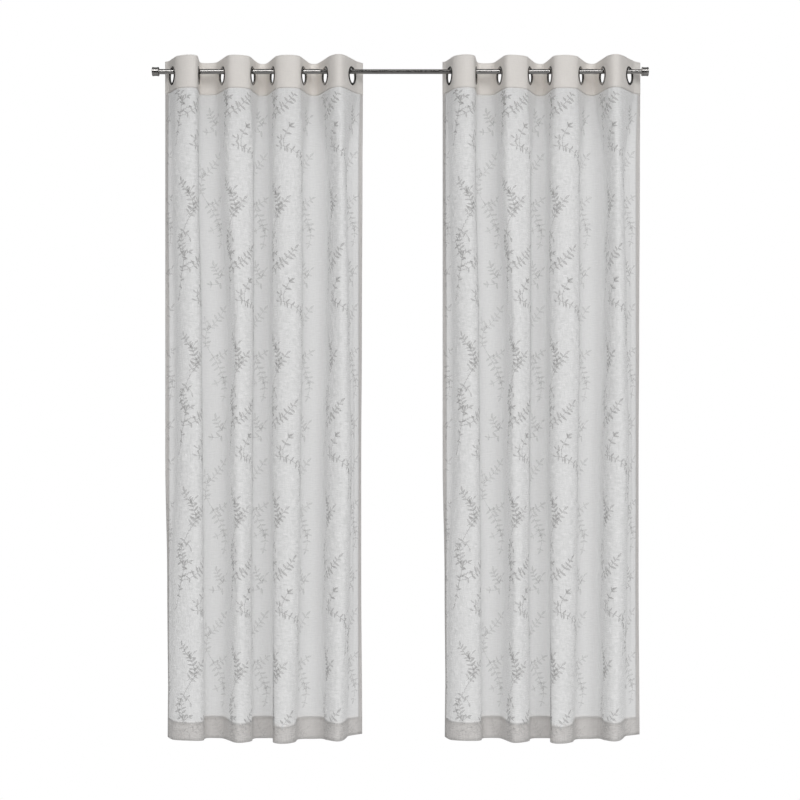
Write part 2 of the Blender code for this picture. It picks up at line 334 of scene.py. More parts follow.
# The hung cloth as a table: points and room-side normals for even steps down and across
class Hanging:
    def __init__(self, side):
        self.columns = round(cloth["width"] / cloth["columnSize"])
        self.rows = round(voileDrop / cloth["rowSize"])
        self.places = np.linspace(0.0, cloth["width"], self.columns + 1)
        low = acrossFolds(hemLow, self.places)
        points, normals = [], []
        for row in range(self.rows + 1):
            share = row / self.rows
            plan = planAt(side, voileTop - voileDrop * share, self.places)
            normal = planNormals(plan)
            heights = voileTop + (low - voileTop) * share
            forward = self.creaseDepth(voileTop - voileDrop * share)
            points.append(np.column_stack([plan, heights]) + normal * forward[:, None])
            normals.append(normal)
        self.points = np.array(points)
        self.normals = np.array(normals)
        self.headingPlan = planAt(side, cloth["headingBottom"], self.places)

    def creaseDepth(self, z):
        depth = np.zeros(len(self.places))
        for crease in creases:
            share = (crease.top - z) / (crease.top - crease.bottom)
            if 0.0 < share < 1.0:
                fade = math.sin(math.pi * share) ** cloth["creaseFade"]
                spread = np.exp(-(((self.places - crease.place) / crease.width) ** 2))
                depth += crease.depth * fade * spread
        return depth

    # Points on the hung cloth at flat places and shares of its drop, lifted to the room side
    def at(self, places, shares, lift):
        across = np.clip(places / cloth["width"], 0.0, 1.0) * self.columns
        down = np.clip(shares, 0.0, 1.0) * self.rows
        c = np.minimum(across.astype(int), self.columns - 1)
        r = np.minimum(down.astype(int), self.rows - 1)
        fc = (across - c)[:, None]
        fr = (down - r)[:, None]
        found = []
        for table in (self.points, self.normals):
            upper = table[r, c] * (1 - fc) + table[r, c + 1] * fc
            lower = table[r + 1, c] * (1 - fc) + table[r + 1, c + 1] * fc
            found.append(upper * (1 - fr) + lower * fr)
        return found[0] + found[1] * np.asarray(lift)[:, None]

    # Points on the heading at flat places and heights
    def onHeading(self, places, heights, lift):
        normals = planNormals(self.headingPlan)
        found = [np.interp(places, self.places, self.headingPlan[:, k]) for k in (0, 1)]
        facing = [np.interp(places, self.places, normals[:, k]) for k in (0, 1)]
        return np.column_stack([found[0] + facing[0] * lift, found[1] + facing[1] * lift, heights])


def deselectAll():
    for thing in list(bpy.context.selected_objects):
        thing.select_set(False)


def flatGrid(name, columns, rows):
    deselectAll()
    bpy.ops.mesh.primitive_grid_add(x_subdivisions=columns, y_subdivisions=rows, size=1.0)
    made = bpy.context.object
    made.name = name
    made.data.name = name
    return made


# Each vertex's column and row in a unit grid, row 0 at the top
def gridPlaces(mesh, columns, rows):
    flat = np.zeros(len(mesh.vertices) * 3)
    mesh.vertices.foreach_get("co", flat)
    flat = flat.reshape(-1, 3)
    column = np.rint((flat[:, 0] + 0.5) * columns).astype(int)
    row = np.rint((0.5 - flat[:, 1]) * rows).astype(int)
    return column, row


def setPoints(mesh, points):
    mesh.vertices.foreach_set("co", np.asarray(points).reshape(-1))
    mesh.update()


def setMap(mesh, across, down):
    layer = mesh.uv_layers.active or mesh.uv_layers.new(name="flatCloth")
    corners = np.zeros(len(mesh.loops), int)
    mesh.loops.foreach_get("vertex_index", corners)
    placed = np.column_stack([across[corners], down[corners]]) / cloth["mapSize"]
    layer.data.foreach_set("uv", placed.reshape(-1))


def finishPiece(piece, finish):
    piece.data.materials.clear()
    piece.data.materials.append(finish)
    piece.data.shade_smooth()
    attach(piece, "root")


# A folded edge, from the raw edge turned inside the hem to the edge of the cloth: flat places, and
# how far each layer lies behind the cloth
def foldedEdge(hem, turnIn, drop):
    steps = round(hem / cloth["hemStep"])
    inner = np.linspace(hem - turnIn, hem, round(turnIn / cloth["hemStep"]) + 1)
    outer = np.linspace(hem, 0.0, steps + 1)
    behind = np.concatenate([np.full(len(inner), drop / 2), np.full(len(outer), drop)])
    return np.concatenate([inner, outer]), behind


# The voile panel: one sheet whose side hems and deep bottom hem fold over twice to the wall side
def voilePanel(side, hanging, finish):
    edge, edgeBehind = foldedEdge(cloth["sideHem"], cloth["sideTurnIn"], cloth["sideHemDrop"])
    places = np.concatenate([edge, hanging.places, (cloth["width"] - edge)[::-1]])
    sideBehind = np.concatenate([edgeBehind, np.zeros(len(hanging.places)), edgeBehind[::-1]])
    unfolded = np.concatenate([[0.0], np.cumsum(np.abs(np.diff(places)))])
    low = acrossFolds(hemLow, places)
    sewn = acrossFolds(hemSewn, places)
    hemShare = (sewn - low) / (voileTop - low)

    climb = np.concatenate([
        np.linspace(0.0, 1.0, cloth["hemRows"] + 1),
        np.linspace(1.0, 1.0 - cloth["bottomTurnIn"] / cloth["bottomHem"], 3),
    ])
    climbBehind = np.full(len(climb), cloth["bottomHemDrop"])
    climbBehind[cloth["hemRows"] + 1 :] *= cloth["turnInDrop"]
    climbedFlat = cloth["bottomHem"] * np.concatenate([[0.0], np.cumsum(np.abs(np.diff(climb)))])

    columns, rows = len(places) - 1, hanging.rows + len(climb)
    made = flatGrid(f"voile_{side}", columns, rows)
    column, row = gridPlaces(made.data, columns, rows)
    inHem = row > hanging.rows
    k = np.clip(row - hanging.rows - 1, 0, len(climb) - 1)
    shares = np.where(inHem, 1.0 - hemShare[column] * climb[k], row / hanging.rows)
    behind = np.where(inHem, climbBehind[k] - sideBehind[column], sideBehind[column])
    setPoints(made.data, hanging.at(places[column], shares, -behind))
    setMap(made.data, unfolded[column], np.where(inHem, voileDrop + climbedFlat[k], voileDrop * shares))

    hemmed = (places[column] < cloth["sideHem"]) | (places[column] > cloth["width"] - cloth["sideHem"])
    hemmed |= shares > 1.0 - hemShare[column]
    setTone(made.data, "hemmed", hemmed)
    setTone(made.data, "forward", forwardness(places[column]))
    finishPiece(made, finish)
    return made


# How far forward each place on the flat cloth hangs: 1 on folds to the room, 0 on folds to the wall
def forwardness(places):
    turn = (places - cloth["leftMargin"]) / foldFlat
    return np.clip(0.5 + cloth["forwardShare"] * np.sin(np.pi * turn), 0.0, 1.0)


def setTone(mesh, name, values):
    tone = mesh.attributes.new(name, "FLOAT", "POINT")
    tone.data.foreach_set("value", np.asarray(values, np.float32))


# The leaf pattern: branches of small paired leaves, in one repeat that is set out again across and
# down the cloth. Each branch starts at a place in the repeat, heads some way from straight up,
# clockwise, and bends as it goes. Buds are the tiny pairs between its leaves.
Branch = namedtuple("Branch", "across down heading length bend pairs leaf spread buds")
leaves = {
    "acrossRepeat": 0.304,
    "downRepeat": 0.482,
    "firstAcross": -0.304,
    "firstDown": -0.482,
    "across": 6,
    "down": 6,
    "leafWidth": 0.36,  # of its length
    "leafBend": 24,
    "seed": 11,
    "unevenSize": 0.22,
    "unevenTurn": 13,
    "unevenPlace": 0.35,  # of the distance between two pairs
    "unevenTone": 0.30,
    "budSize": 0.0050,
    "budStagger": 0.2,
    "stemWidth": 0.0013,
    "stemSteps": 10,
    "firstLeaf": 0.14,  # how far along its branch
    "lastLeaf": 0.90,
    "tipShrink": 0.24,
    "lift": 0.00045,
    "edgeClear": 0.002,  # no leaf comes nearer to the cloth's edges
    "leafSteps": 5,
    "pointShare": 0.03,  # how far from its ends a leaf keeps its least width
    "fullness": 0.75,
    "backFoldPaintedTone": 0.50,  # how strongly the pattern shows on folds that go back, and in the hem. Its paleness on folds that go back is painted light; the print is the same on every fold
    "hemTone": 0.35,
    "middleTone": 0.45,  # a leaf is paler within its rim
    "rimStart": 0.10,
    "rimEnd": 0.85,
}
branches = (
    # a winding sprig with a crossed tip
    Branch(0.177, 0.141, 24, 0.024, 6, 1, 0.0155, 74, 0),
    Branch(0.189, 0.121, 40, 0.006, 0, 1, 0.0150, 46, 0),
    Branch(0.177, 0.141, 206, 0.044, -46, 0, 0.0130, 50, 2),
    Branch(0.166, 0.160, 296, 0.012, 0, 1, 0.0140, 48, 0),
    Branch(0.166, 0.178, 258, 0.012, 20, 1, 0.0150, 52, 0),
    Branch(0.167, 0.179, 106, 0.078, 34, 4, 0.0180, 58, 0),
    Branch(0.226, 0.205, 46, 0.022, 0, 1, 0.0150, 50, 0),
    Branch(0.236, 0.222, 174, 0.088, 12, 2, 0.0120, 36, 5),
    # a fern-like frond with long lower leaves
    Branch(0.138, 0.560, 58, 0.094, -24, 6, 0.0190, 62, 0),
    Branch(0.138, 0.560, 246, 0.026, 20, 1, 0.0130, 50, 1),
    # a tall winding vine
    Branch(0.141, 0.331, 318, 0.050, 16, 4, 0.0175, 54, 0),
    Branch(0.140, 0.330, 20, 0.020, 16, 1, 0.0150, 54, 0),
    Branch(0.152, 0.386, 2, 0.056, -30, 4, 0.0190, 52, 0),
    Branch(0.119, 0.441, 24, 0.064, 14, 0, 0.0130, 50, 5),
    Branch(0.130, 0.398, 46, 0.072, -8, 5, 0.0190, 60, 0),
    Branch(0.120, 0.440, 212, 0.034, 12, 3, 0.0175, 56, 0),
    Branch(0.126, 0.448, 140, 0.020, 12, 1, 0.0150, 56, 0),
    Branch(0.112, 0.522, 2, 0.052, -14, 4, 0.0190, 54, 0),
    Branch(0.112, 0.516, 322, 0.026, 10, 2, 0.0160, 54, 0),
    Branch(0.114, 0.528, 44, 0.026, 10, 2, 0.0160, 54, 0),
    Branch(0.099, 0.604, 16, 0.084, -6, 3, 0.0160, 46, 4),
    Branch(0.110, 0.556, 62, 0.034, 8, 0, 0.0110, 46, 3),
    Branch(0.099, 0.604, 190, 0.044, 10, 1, 0.0140, 42, 3),
    # a broad forked vine
    Branch(0.272, 0.262, 46, 0.086, -14, 5, 0.0190, 58, 0),
    Branch(0.274, 0.262, 332, 0.030, 14, 2, 0.0170, 58, 0),
    Branch(0.266, 0.313, 350, 0.052, 34, 3, 0.0190, 58, 1),
    Branch(0.266, 0.306, 152, 0.036, -8, 1, 0.0140, 50, 1),
    Branch(0.283, 0.336, 146, 0.092, 14, 5, 0.0190, 58, 1),
    Branch(0.296, 0.352, 62, 0.040, -10, 3, 0.0170, 54, 0),
    Branch(0.330, 0.412, 178, 0.060, 16, 3, 0.0160, 50, 2),
    Branch(0.326, 0.410, 228, 0.030, 16, 2, 0.0160, 50, 0),
    # a short loose sprig
    Branch(0.322, 0.098, 320, 0.046, 22, 4, 0.0190, 58, 0),
    Branch(0.318, 0.112, 250, 0.030, 22, 2, 0.0160, 58, 0),
    Branch(0.318, 0.092, 24, 0.024, 12, 1, 0.0150, 54, 0),
)


# A branch's line on the flat cloth, from its start
def branchLine(branch):
    share = np.linspace(0.0, 1.0, leaves["stemSteps"] + 1)
    heading = np.radians(branch.heading + branch.bend * share)
    step = branch.length / leaves["stemSteps"]
    across = branch.across + np.concatenate([[0.0], np.cumsum(np.sin(heading[:-1]) * step)])
    down = branch.down - np.concatenate([[0.0], np.cumsum(np.cos(heading[:-1]) * step)])
    return np.column_stack([across, down]), heading


# One leaf is shaped once: a unit grid drawn in to a point at both ends and bent sideways, and how
# dark each of its corners is
def leafShape():
    rows = leaves["leafSteps"]
    made = flatGrid("leafShape", 2, rows)
    column, row = gridPlaces(made.data, 2, rows)
    share = 1.0 - row / rows
    inward = np.clip(share, leaves["pointShare"], 1.0 - leaves["pointShare"])
    half = np.sin(np.pi * inward) ** leaves["fullness"] * leaves["leafWidth"] / 2
    bend = math.radians(leaves["leafBend"]) * share * share / 2
    shape = np.column_stack([(column - 1) * half + bend, share])
    within = (column == 1) & (share > leaves["rimStart"]) & (share < leaves["rimEnd"])
    shades = np.where(within, leaves["middleTone"], 1.0)
    faces = [tuple(face.vertices) for face in made.data.polygons]
    bpy.data.objects.remove(made, do_unlink=True)
    return shape, faces, shades


# A leaf laid on the flat cloth: its foot, the way it points and its length
def laidLeaf(shape, foot, heading, length, mirrored):
    turned = shape * np.array([-length if mirrored else length, length])
    across = foot[0] + turned[:, 0] * math.cos(heading) + turned[:, 1] * math.sin(heading)
    down = foot[1] + turned[:, 0] * math.sin(heading) - turned[:, 1] * math.cos(heading)
    return np.column_stack([across, down])


def stemStrip(line, heading):
    half = leaves["stemWidth"] / 2
    side = np.column_stack([np.cos(heading), np.sin(heading)]) * half
    points = np.vstack([line - side, line + side])
    count = len(line)
    faces = [(k, k + 1, count + k + 1, count + k) for k in range(count - 1)]
    return points, faces


# A branch's leaves and buds, on both sides: how far along, how long and how far turned from the
# branch. Leaves shrink towards the tip, and no two are quite alike.
def branchLeaves(branch, dice):
    laid = []
    apart = (leaves["lastLeaf"] - leaves["firstLeaf"]) / max(branch.pairs - 1, 1)
    for order in range(branch.pairs):
        for turn in (-1, 1):
            shifted = order + dice.uniform(-0.5, 0.5) * leaves["unevenPlace"]
            share = leaves["firstLeaf"] + apart * shifted
            size = branch.leaf * (1.0 - leaves["tipShrink"] * share)
            size *= 1.0 + dice.uniform(-1.0, 1.0) * leaves["unevenSize"]
            spread = branch.spread + dice.uniform(-1.0, 1.0) * leaves["unevenTurn"]
            laid.append((min(max(share, 0.0), 1.0), size, turn * math.radians(spread)))
    for order in range(branch.buds):
        for turn in (-1, 1):
            share = (order + 0.5 + leaves["budStagger"] * turn) / branch.buds
            laid.append((share, leaves["budSize"], turn * math.radians(branch.spread)))
    return laid


# All shapes of one repeat of the pattern, on the flat cloth, with how dark each is
def patternRepeat():
    shape, leafFaces, shades = leafShape()
    dice = np.random.default_rng(leaves["seed"])
    shapes = []
    for branch in branches:
        line, heading = branchLine(branch)
        dark = 1.0 - leaves["unevenTone"] * dice.uniform()
        strip, stripFaces = stemStrip(line, heading)
        shapes.append((strip, stripFaces, np.full(len(strip), dark)))
        for share, size, turn in branchLeaves(branch, dice):
            k = share * leaves["stemSteps"]
            foot = np.array([np.interp(k, range(len(line)), line[:, n]) for n in (0, 1)])
            way = float(np.interp(k, range(len(line)), heading)) + turn
            shapes.append((laidLeaf(shape, foot, way, size, turn < 0), leafFaces, dark * shades))
        tip = laidLeaf(shape, line[-1], float(heading[-1]), branch.leaf, False)
        shapes.append((tip, leafFaces, dark * shades))
    return shapes


def leafPattern(side, hanging, shapes, finish):
    points, faces, tones, count = [], [], [], 0
    edge, clear = cloth["width"], leaves["edgeClear"]
    for i in range(leaves["across"]):
        for j in range(leaves["down"]):
            shift = np.array([
                leaves["firstAcross"] + i * leaves["acrossRepeat"],
                leaves["firstDown"] + j * leaves["downRepeat"],
            ])
            for shape, shapeFaces, dark in shapes:
                laid = shape + shift
                if laid[:, 0].min() < clear or laid[:, 0].max() > edge - clear:
                    continue
                if laid[:, 1].min() < clear or laid[:, 1].max() > voileDrop - clear:
                    continue
                points.append(laid)
                faces += [tuple(count + v for v in face) for face in shapeFaces]
                tones.append(dark)
                count += len(laid)
    laid = np.vstack(points)
    lift = np.full(len(laid), leaves["lift"])
    placed = hanging.at(laid[:, 0], laid[:, 1] / voileDrop, lift)
    mesh = bpy.data.meshes.new(f"leaves_{side}")
    mesh.from_pydata([tuple(p) for p in placed], [], faces)
    made = bpy.data.objects.new(f"leaves_{side}", mesh)
    bpy.context.scene.collection.objects.link(made)
    setMap(mesh, laid[:, 0], laid[:, 1])
    # Paler pattern on folds that go back: painted light, the print itself is the same on every fold
    shown = leaves["backFoldPaintedTone"] + (1.0 - leaves["backFoldPaintedTone"]) * forwardness(laid[:, 0])
    shown = np.where(laid[:, 1] > voileDrop - cloth["bottomHem"], shown * leaves["hemTone"], shown)
    setTone(mesh, "tone", shown * np.concatenate(tones))
    finishPiece(made, finish)
    return made


# The heading: a doubled band of plain cloth, with a hole for each ring
headingSizes = {
    "columnSize": 0.003,
    "rows": 24,
    "thick": 0.0012,
}

# Rows of small stitches along the hems and the heading's edges
stitches = {
    "length": 0.0024,
    "gap": 0.0012,
    "width": 0.0007,
    "foot": 0.0002,
    "rise": 0.0004,
    "hemInset": 0.0015,  # how far inside a hem's inner fold, or the heading's edge, they run
    "headingInset": 0.0030,
    "taper": 0.35,
}


# Stitches along a line of points: their corners, how high each stands, and their faces
def sewnLine(points):
    along = np.concatenate([[0.0], np.cumsum(np.linalg.norm(np.diff(points, axis=0), axis=1))])
    step = stitches["length"] + stitches["gap"]
    middles = np.arange(step, along[-1] - step, step)
    places = np.column_stack([np.interp(middles, along, points[:, k]) for k in (0, 1)])
    ahead = np.column_stack([np.interp(middles + step / 4, along, points[:, k]) for k in (0, 1)])
    way = (ahead - places) / np.linalg.norm(ahead - places, axis=1)[:, None]
    side = np.column_stack([-way[:, 1], way[:, 0]])
    corners, lifts = [], []
    for end in (-1, 0, 1):
        full = 1.0 if end == 0 else stitches["taper"]
        for edge in (-1, 0, 1):
            reach = way * end * stitches["length"] / 2 + side * edge * full * stitches["width"] / 2
            corners.append(places + reach)
            lifts.append(stitches["foot"] + stitches["rise"] * full * (1 - abs(edge)))
    corners = np.stack(corners, axis=1).reshape(-1, 2)
    quads = ((0, 1, 4, 3), (1, 2, 5, 4), (3, 4, 7, 6), (4, 5, 8, 7))
    faces = [tuple(9 * k + v for v in quad) for k in range(len(places)) for quad in quads]
    return corners, np.tile(lifts, len(places)), faces


# All stitches of one panel and its heading
def sewnStitches(side, hanging, finish):
    inset = cloth["sideHem"] - stitches["hemInset"]
    low = acrossFolds(hemLow, hanging.places)
    sewn = acrossFolds(hemSewn, hanging.places)
    hemTop = voileDrop * (1.0 - (sewn - low) / (voileTop - low)) + stitches["hemInset"]
    down = np.linspace(0.0, voileDrop, hanging.rows + 1)
    voileLines = (
        np.column_stack([np.full(len(down), inset), down]),
        np.column_stack([np.full(len(down), cloth["width"] - inset), down]),
        np.column_stack([hanging.places, hemTop]),
    )
    points, faces = [], []
    for line in voileLines:
        corners, lifts, quads = sewnLine(line)
        faces += [tuple(len(points) + v for v in quad) for quad in quads]
        points += [tuple(p) for p in hanging.at(corners[:, 0], corners[:, 1] / voileDrop, lifts)]
    upper = cloth["headingTop"] - stitches["headingInset"]
    lower = cloth["headingBottom"] + stitches["headingInset"]
    for height in (upper, lower):
        line = np.column_stack([hanging.places, np.full(len(hanging.places), height)])
        corners, lifts, quads = sewnLine(line)
        raised = lifts + headingSizes["thick"] / 2
        faces += [tuple(len(points) + v for v in quad) for quad in quads]
        points += [tuple(p) for p in hanging.onHeading(corners[:, 0], corners[:, 1], raised)]
    mesh = bpy.data.meshes.new(f"stitches_{side}")
    mesh.from_pydata(points, [], faces)
    made = bpy.data.objects.new(f"stitches_{side}", mesh)
    bpy.context.scene.collection.objects.link(made)
    finishPiece(made, finish)
    return made


# Where a ring sits, and the way it faces
rings = {
    "holeRadius": 0.0240,
    "holeSteps": 64,
    "holeDepth": 0.020,
    "innerRadius": 0.0218,
    "outerRadius": 0.0298,
    "halfDepth": 0.0034,
    "drop": -0.0131,
    "roundSteps": 72,
    "sectionSteps": 20,
    "rimShare": 0.55,
}


def ringPlace(side, index):
    crossing = crossings[index]
    x = cloth["leftEdge"][side] + crossing.rings
    way = wayAt(index, crossing, x, cloth["headingBottom"])
    facing = Vector((way[1], -way[0], 0.0))
    turn = facing.to_track_quat("Z", "Y").to_matrix().to_4x4()
    return Matrix.Translation((x, 0.0, rings["drop"])) @ turn


def headingBand(side, finish):
    columns = round(cloth["width"] / headingSizes["columnSize"])
    rows = headingSizes["rows"]
    made = flatGrid(f"heading_band_{side}", columns, rows)
    column, row = gridPlaces(made.data, columns, rows)
    places = np.linspace(0.0, cloth["width"], columns + 1)
    plan = planAt(side, cloth["headingBottom"], places)
    tall = cloth["headingTop"] - cloth["headingBottom"]
    heights = cloth["headingTop"] - tall * row / rows
    setPoints(made.data, np.column_stack([plan[column], heights]))
    setMap(made.data, places[column], tall * row / rows)

    thicken = made.modifiers.new("doubled", "SOLIDIFY")
    thicken.thickness = headingSizes["thick"]
    thicken.offset = 0.0
    thicken.use_even_offset = True
    bpy.ops.object.modifier_apply(modifier=thicken.name)
    for index in range(len(crossings)):
        deselectAll()
        bpy.ops.mesh.primitive_cylinder_add(
            vertices=rings["holeSteps"], radius=rings["holeRadius"], depth=rings["holeDepth"]
        )
        cutter = bpy.context.object
        cutter.matrix_world = ringPlace(side, index)
        hole = made.modifiers.new("hole", "BOOLEAN")
        hole.operation = "DIFFERENCE"
        hole.solver = "EXACT"
        hole.object = cutter
        bpy.context.view_layer.objects.active = made
        bpy.ops.object.modifier_apply(modifier=hole.name)
        bpy.data.objects.remove(cutter, do_unlink=True)
    finishPiece(made, finish)
    return made


# One eyelet ring, its flanges thinner towards the rim where they lie on the cloth
def ringShape():
    deselectAll()
    middle = (rings["innerRadius"] + rings["outerRadius"]) / 2
    bpy.ops.mesh.primitive_torus_add(
        major_radius=middle,
        minor_radius=rings["outerRadius"] - middle,
        major_segments=rings["roundSteps"],
        minor_segments=rings["sectionSteps"],
    )
    made = bpy.context.object
    made.name = "ringShape"
    reach = rings["outerRadius"] - middle
    for vertex in made.data.vertices:
        out = (math.hypot(vertex.co.x, vertex.co.y) - middle) / reach
        slim = 1.0 - (1.0 - rings["rimShare"]) * max(out, 0.0)
        vertex.co.z *= rings["halfDepth"] / reach * slim
    return made


def eyeletRings(side, shape, finish):
    made = []
    for index in range(len(crossings)):
        ring = shape.copy()
        ring.data = shape.data.copy()
        ring.name = f"eyelet_{side}_{index + 1}"
        bpy.context.scene.collection.objects.link(ring)
        ring.data.transform(ringPlace(side, index))
        ring.matrix_world = Matrix.Identity(4)
        finishPiece(ring, finish)
        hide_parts(f"ring_{side}_{index + 1}")
        made.append(ring)
    return made


# Finishes: how fine the weave is, in waves a metre across and down, then each piece's look
weave = {
    "weft": (46.0, 300.0, 1.0),
    "warp": (300.0, 30.0, 1.0),
    "fineWeft": (120.0, 1100.0, 1.0),
    "fineWarp": (1100.0, 120.0, 1.0),
    "clouds": (9.0, 7.0, 1.0),
}
voileLook = {
    "threadShares": (0.50, 0.30, 0.20),
    "colour": (0.790, 0.790, 0.788, 1.0),
    "hemColour": (0.800, 0.776, 0.757, 1.0),
    "cover": 0.74,  # how much more one layer hides just under the heading, fading out below it
    "slubCover": 1.60,
    "backSlubs": 0.25,  # how strongly the slubs show on folds that go back
    "headCover": 0.12,  # how much denser it is where it is gathered into the heading
    "headFade": 0.20,
    "leastCover": 0.50,
    "mostCover": 0.95,
    "roughness": 0.80,
    "sheen": 0.15,
    "specular": 0.2,
    "cloudCover": 0.05,
    "bumpDepth": 0.0006,
}
leafLook = {
    "threadShares": (0.30, 0.30, 0.40),
    "threadCover": 0.3,
    "leastCover": 0.05,
    "specular": 0.2,
    "colour": (0.48, 0.475, 0.47, 1.0),
    "paleColour": (0.56, 0.555, 0.55, 1.0),
    "cover": 0.66,
    "roughness": 0.75,
}
headingLook = {
    "threadShares": (0.35, 0.30, 0.35),
    "sheen": 0.1,
    "specular": 0.25,
    "colour": (0.95, 0.911, 0.868, 1.0),
    "streakColour": (0.88, 0.843, 0.803, 1.0),
    "streakFrom": 0.38,
    "streakGain": 3.4,
    "roughness": 0.82,
    "bumpDepth": 0.0005,
}
rodLook = {
    "colour": (0.46, 0.449, 0.438, 1.0),
    "darkColour": (0.41, 0.40, 0.39, 1.0),
    "roughness": 0.10,
    "roughSpread": 0.04,
}
innerLook = {
    "colour": (0.35, 0.34, 0.33, 1.0),
    "darkColour": (0.31, 0.30, 0.29, 1.0),
    "roughness": 0.24,
    "roughSpread": 0.03,
}
ringLook = {
    "colour": (0.34, 0.33, 0.32, 1.0),
    "darkColour": (0.22, 0.212, 0.204, 1.0),
    "roughness": 0.20,
    "roughSpread": 0.14,
}
# The scales are how fine the nickel's streaks and dull patches are, in waves a metre
nickelGrain = {
    "rodStreak": (3.0, 900.0, 900.0),
    "ringStreak": (160.0, 160.0, 160.0),
    "patches": 40.0,
    "dullSpread": 0.04,
    "patchTone": 0.9,
    "streakTone": 0.2,
    "leastRough": 0.08,
    "mostRough": 0.6,
    "bumpDepth": 0.000004,
}
threadLook = {
    "colour": (0.74, 0.735, 0.73, 1.0),
    "darkColour": (0.60, 0.595, 0.59, 1.0),
    "twist": 1400.0,
    "roughness": 0.7,
    "bumpDepth": 0.0001,
    "specular": 0.3,
}


# Uneven threads both ways, from the flat cloth's own map: about 0 to 1, a half on average. The
# shares are the weft's, the warp's and the fine threads'.
def slubs(finish, shares):
    placed = finish.node("UVMap", {}, {})
    flat = finish.stretched(placed, (cloth["mapSize"],) * 3)
    weft = finish.noise(finish.stretched(flat, weave["weft"]), 3.0)
    warp = finish.noise(finish.stretched(flat, weave["warp"]), 3.0)
    fineWeft = finish.noise(finish.stretched(flat, weave["fineWeft"]), 2.0)
    fineWarp = finish.noise(finish.stretched(flat, weave["fineWarp"]), 2.0)
    cloudy = finish.noise(finish.stretched(flat, weave["clouds"]), 2.0)
    fine = (fineWeft + fineWarp) * 0.5
    return weft * shares[0] + warp * shares[1] + fine * shares[2], cloudy


def attribute(finish, name):
    return finish.node("Attribute", {"attribute_name": name}, {}, output=2)


def voileFinish():
    finish = Finish("voile")
    threads, cloudy = slubs(finish, voileLook["threadShares"])
    hemmed = attribute(finish, "hemmed")
    strength = voileLook["backSlubs"] + attribute(finish, "forward") * (1.0 - voileLook["backSlubs"])
    split = finish.node("SeparateXYZ", {}, {"Vector": finish.node("UVMap", {}, {})}, output="Y")
    belowHeading = finish.limited(1.0 - split * (cloth["mapSize"] / voileLook["headFade"]), 0.0, 1.0)
    cover = voileLook["cover"] + belowHeading * voileLook["headCover"] + (cloudy - 0.5) * voileLook["cloudCover"]
    cover = cover + (threads - 0.5) * strength * voileLook["slubCover"]
    finish.feedAll({
        "Base Color": finish.blend(hemmed, voileLook["colour"], voileLook["hemColour"]),
        "Alpha": finish.limited(cover, voileLook["leastCover"], voileLook["mostCover"]),
        "Roughness": voileLook["roughness"],
        "Normal": finish.bump(threads, voileLook["bumpDepth"]),
        "Sheen Weight": voileLook["sheen"],
        "Specular IOR Level": voileLook["specular"],
    })
    return finish.material


def leafFinish():
    finish = Finish("leafWeave")
    threads, _ = slubs(finish, leafLook["threadShares"])
    tone = attribute(finish, "tone")
    woven = (threads - 0.5) * leafLook["threadCover"]
    finish.feedAll({
        "Base Color": finish.blend(tone, leafLook["paleColour"], leafLook["colour"]),
        "Alpha": finish.limited(tone * leafLook["cover"] + woven, leafLook["leastCover"], 1.0),
        "Roughness": leafLook["roughness"],
        "Normal": finish.bump(threads, voileLook["bumpDepth"]),
        "Specular IOR Level": leafLook["specular"],
    })
    return finish.material


def headingFinish():
    finish = Finish("headingCloth")
    threads, cloudy = slubs(finish, headingLook["threadShares"])
    shade = (threads - headingLook["streakFrom"]) * headingLook["streakGain"] + (cloudy - 0.5)
    finish.feedAll({
        "Base Color": finish.blend(
            finish.limited(shade, 0.0, 1.0), headingLook["streakColour"], headingLook["colour"]
        ),
        "Roughness": headingLook["roughness"],
        "Normal": finish.bump(threads, headingLook["bumpDepth"]),
        "Sheen Weight": headingLook["sheen"],
        "Specular IOR Level": headingLook["specular"],
    })
    return finish.material


# Sewing thread: light and dark by its twist
def threadFinish():
    finish = Finish("thread")
    place = finish.node("TexCoord", {}, {}, output="Object")
    strand = finish.noise(finish.stretched(place, (threadLook["twist"],) * 3), 1.0)
    finish.feedAll({
        "Base Color": finish.blend(strand, threadLook["darkColour"], threadLook["colour"]),
        "Roughness": threadLook["roughness"],
        "Normal": finish.bump(strand, threadLook["bumpDepth"]),
        "Specular IOR Level": threadLook["specular"],
    })
    return finish.material


# Satin nickel: a soft uneven polish, in streaks along the given axis
def nickelFinish(name, streak, look):
    finish = Finish(name)
    place = finish.node("TexCoord", {}, {}, output="Object")
    grain = finish.noise(finish.stretched(place, streak), 3.0)
    dull = finish.noise(finish.stretched(place, (nickelGrain["patches"],) * 3), 2.0)
    shade = dull * nickelGrain["patchTone"] + grain * nickelGrain["streakTone"]
    rough = (grain - 0.5) * look["roughSpread"] + (dull - 0.5) * nickelGrain["dullSpread"]
    finish.feedAll({
        "Base Color": finish.blend(
            finish.limited(shade, 0.0, 1.0), look["darkColour"], look["colour"]
        ),
        "Metallic": 1.0,
        "Roughness": finish.limited(
            look["roughness"] + rough, nickelGrain["leastRough"], nickelGrain["mostRough"]
        ),
        "Normal": finish.bump(grain, nickelGrain["bumpDepth"]),
    })
    return finish.material


# Build
voile = voileFinish()
leafWeave = leafFinish()
headingCloth = headingFinish()
rodNickel = nickelFinish("rodNickel", nickelGrain["rodStreak"], rodLook)
innerNickel = nickelFinish("innerNickel", nickelGrain["rodStreak"], innerLook)
ringNickel = nickelFinish("ringNickel", nickelGrain["ringStreak"], ringLook)
thread = threadFinish()
print("finishes made")

pattern = patternRepeat()
eyelet = ringShape()
for side in cloth["leftEdge"]:
    hanging = Hanging(side)
    panel = voilePanel(side, hanging, voile)
    print("panel hung:", side)
    sprigs = leafPattern(side, hanging, pattern, leafWeave)
    print("leaves laid:", side)
    band = headingBand(side, headingCloth)
    print("heading sewn:", side)
    eyelets = eyeletRings(side, eyelet, ringNickel)
    sewing = sewnStitches(side, hanging, thread)
    print("hems and heading stitched:", side)
    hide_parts(f"panel_{side}")
    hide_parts(f"heading_{side}")
bpy.data.objects.remove(eyelet, do_unlink=True)

